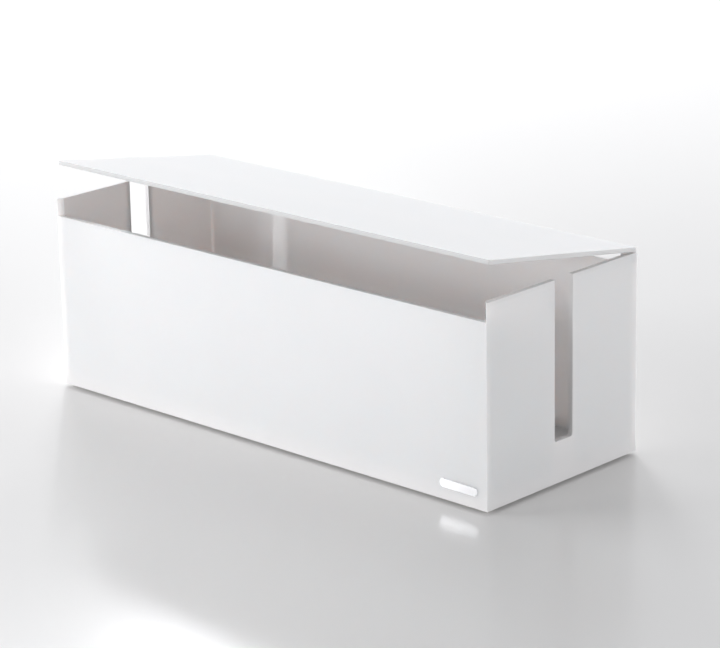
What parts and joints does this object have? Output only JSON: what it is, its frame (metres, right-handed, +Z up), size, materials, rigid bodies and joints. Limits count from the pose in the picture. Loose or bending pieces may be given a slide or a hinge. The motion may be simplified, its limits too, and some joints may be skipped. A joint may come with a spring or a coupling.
{
  "type": "cable tray",
  "caption": "Open-topped moulded box that hides a power strip and its leads, with a cord slot in each end wall and a full-size flat lid hinged at the rear.",
  "frame": {"origin": "centre of the body's footprint, on the surface that the feet stand on", "axes": "+X along the length, +Z up; the low front wall, where the lid opens, faces -Y and the hinge is at +Y"},
  "size_m": [0.4, 0.1503, 0.1658],
  "materials": {
    "body_plastic": "high-gloss white moulded ABS",
    "lid_plastic": "high-gloss white moulded ABS",
    "pin_steel": "drawn steel wire",
    "foot_rubber": "matt grey rubber",
    "badge_chrome": "bright plated plate with no marking"
  },
  "bodies": {
    "box": {"body": "body_plastic", "foot_front_left": "foot_rubber", "foot_front_right": "foot_rubber", "foot_rear_left": "foot_rubber", "foot_rear_right": "foot_rubber", "badge": "badge_chrome"},
    "lid": {"lid": "lid_plastic", "hinge_pin_left": "pin_steel", "hinge_pin_right": "pin_steel"}
  },
  "joints": [
    {"name": "lid_hinge", "type": "hinge", "parent": "box", "child": "lid", "pos_m": [0, 0.0721, 0.1338], "axis": [-1, 0, 0], "range_deg": [-9.2, 91]}
  ]
}
